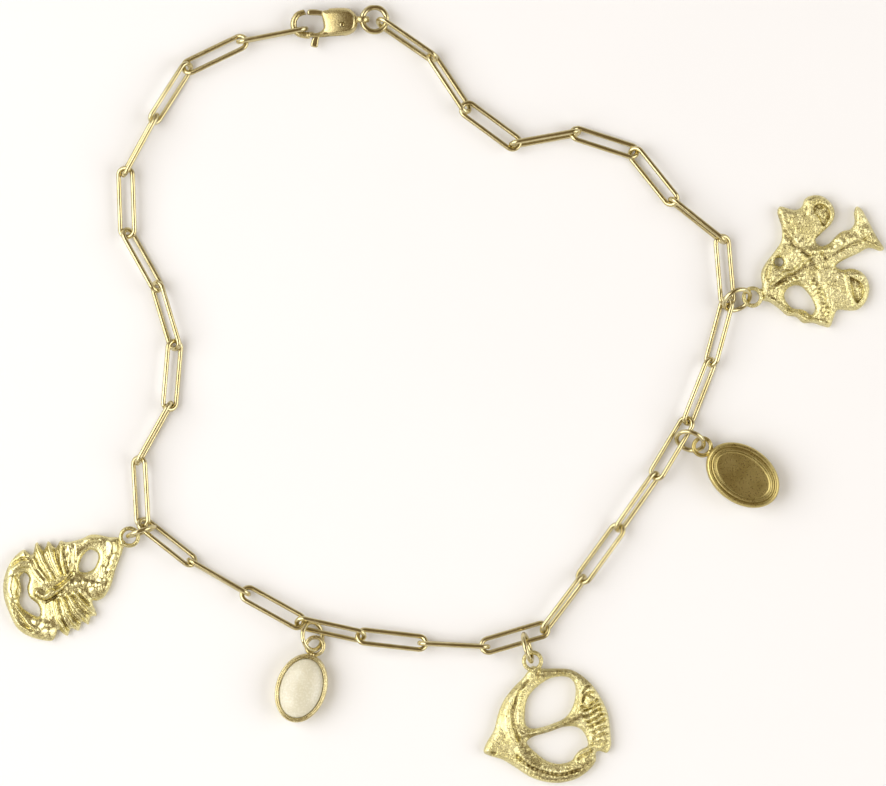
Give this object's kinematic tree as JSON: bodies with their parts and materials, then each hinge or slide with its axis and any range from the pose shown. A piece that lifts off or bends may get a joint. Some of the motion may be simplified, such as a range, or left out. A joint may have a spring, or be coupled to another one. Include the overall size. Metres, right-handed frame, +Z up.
{
  "type": "charm bracelet",
  "caption": "Chain bracelet of long oval links with a lobster clasp, three cast shell charms and two oval cabochon charms on jump rings, lying as an open loop.",
  "frame": {"origin": "middle of the bracelet's box, on the surface that it lies on", "axes": "+Z up from the surface, +X along the longest side of the loop's box, towards the right shell charm, +Y towards the clasp"},
  "size_m": [0.0882, 0.0778, 0.0032],
  "materials": {
    "yellow_gold": "polished pale yellow gold",
    "satin_gold": "satin yellow gold",
    "cast_gold": "polished cast yellow gold with darker hollows",
    "pale_stone": "polished ivory-coloured stone"
  },
  "bodies": {
    "bracelet": {"link_01": "yellow_gold", "link_02": "yellow_gold", "link_03": "yellow_gold", "link_04": "yellow_gold", "link_05": "yellow_gold", "link_06": "yellow_gold", "link_07": "yellow_gold", "link_08": "yellow_gold", "link_09": "yellow_gold", "link_10": "yellow_gold", "link_11": "yellow_gold", "link_12": "yellow_gold", "link_13": "yellow_gold", "link_14": "yellow_gold", "link_15": "yellow_gold", "link_16": "yellow_gold", "link_17": "yellow_gold", "link_18": "yellow_gold", "link_19": "yellow_gold", "link_20": "yellow_gold", "link_21": "yellow_gold", "link_22": "yellow_gold", "link_23": "yellow_gold", "link_24": "yellow_gold", "link_25": "yellow_gold", "link_26": "yellow_gold", "link_27": "yellow_gold", "link_28": "yellow_gold", "link_29": "yellow_gold", "link_30": "yellow_gold", "link_31": "yellow_gold", "left_shell_jump_ring": "yellow_gold", "cabochon_jump_ring": "yellow_gold", "bottom_shell_jump_ring": "yellow_gold", "turned_oval_jump_ring": "yellow_gold", "right_shell_jump_ring": "yellow_gold", "end_ring": "yellow_gold", "clasp_body": "yellow_gold", "clasp_pin": "yellow_gold", "cabochon_setting": "yellow_gold", "cabochon_stone": "pale_stone", "turned_oval_setting": "satin_gold", "turned_oval_stone": "pale_stone", "left_shell": "cast_gold", "bottom_shell": "cast_gold", "right_shell": "cast_gold"},
    "lever": {"clasp_lever": "yellow_gold"}
  },
  "joints": [
    {"name": "lever_hinge", "type": "hinge", "parent": "bracelet", "child": "lever", "pos_m": [-0.01014, 0.03692, 0.00095], "axis": [0, 0, 1], "range_deg": [0, 16], "stiffness_Nm_per_rad": 0.005}
  ]
}
